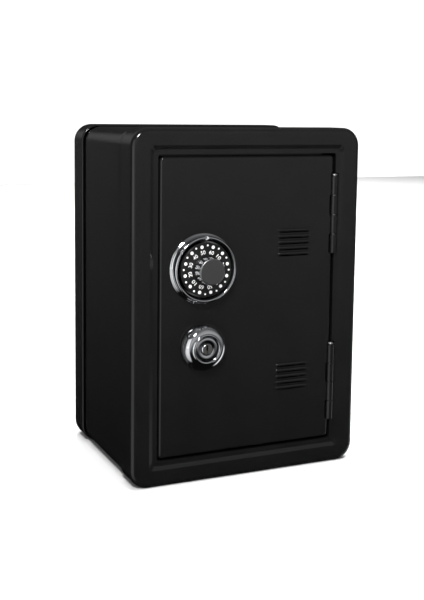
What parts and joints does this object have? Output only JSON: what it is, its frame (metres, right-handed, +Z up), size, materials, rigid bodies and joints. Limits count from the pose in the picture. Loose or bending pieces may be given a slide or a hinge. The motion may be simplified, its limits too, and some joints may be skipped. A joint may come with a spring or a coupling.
{
  "type": "toy safe coin bank",
  "caption": "Black sheet-metal toy safe that holds coins, with a hinged front door, a turning combination dial, a key lock and a coin slot in its top.",
  "frame": {"origin": "on the surface the safe stands on, under the centre of its whole box, knob included", "axes": "+Z up; -Y out of the front, where the door, dial and lock are; +X to the right as seen from the front, which is the hinge side"},
  "size_m": [0.128, 0.115, 0.18],
  "materials": {
    "black_paint": "glossy black paint",
    "chrome": "bright chrome plate",
    "dial_black": "black with white markings",
    "knob_metal": "dark polished metal",
    "plain_steel": "zinc plated steel",
    "brass": "plain brass"
  },
  "bodies": {
    "cabinet": {"front_frame": "black_paint", "body_wrap": "black_paint", "back_cover": "black_paint", "upper_hinge_frame_leaf": "black_paint", "upper_hinge_pin": "plain_steel", "lower_hinge_frame_leaf": "black_paint", "lower_hinge_pin": "plain_steel"},
    "door": {"door_panel": "black_paint", "upper_hinge_door_leaf": "black_paint", "lower_hinge_door_leaf": "black_paint", "dial_bezel": "chrome", "dial_bushing": "brass", "bushing_nut": "plain_steel", "spring_washer": "plain_steel", "lock_escutcheon": "chrome", "lock_housing": "chrome", "lock_nut": "plain_steel"},
    "dial": {"dial_plate": "dial_black", "dial_knob": "knob_metal", "dial_spindle": "plain_steel", "latch_disc": "plain_steel", "disc_screw": "plain_steel"},
    "plug": {"lock_plug": "chrome", "lock_wafer_1": "brass", "lock_wafer_2": "brass", "lock_wafer_3": "brass", "lock_cam": "plain_steel", "cam_screw": "plain_steel"}
  },
  "joints": [
    {"name": "door_hinge", "type": "hinge", "parent": "cabinet", "child": "door", "pos_m": [0.0493, -0.0445, 0.09], "axis": [0, 0, 1], "range_deg": [0, 160]},
    {"name": "dial_turn", "type": "hinge", "parent": "door", "child": "dial", "pos_m": [-0.02615, -0.0455, 0.10985], "axis": [0, 1, 0], "continuous": true},
    {"name": "lock_turn", "type": "hinge", "parent": "door", "child": "plug", "pos_m": [-0.02585, -0.0455, 0.06995], "axis": [0, 1, 0], "range_deg": [0, 90]}
  ]
}
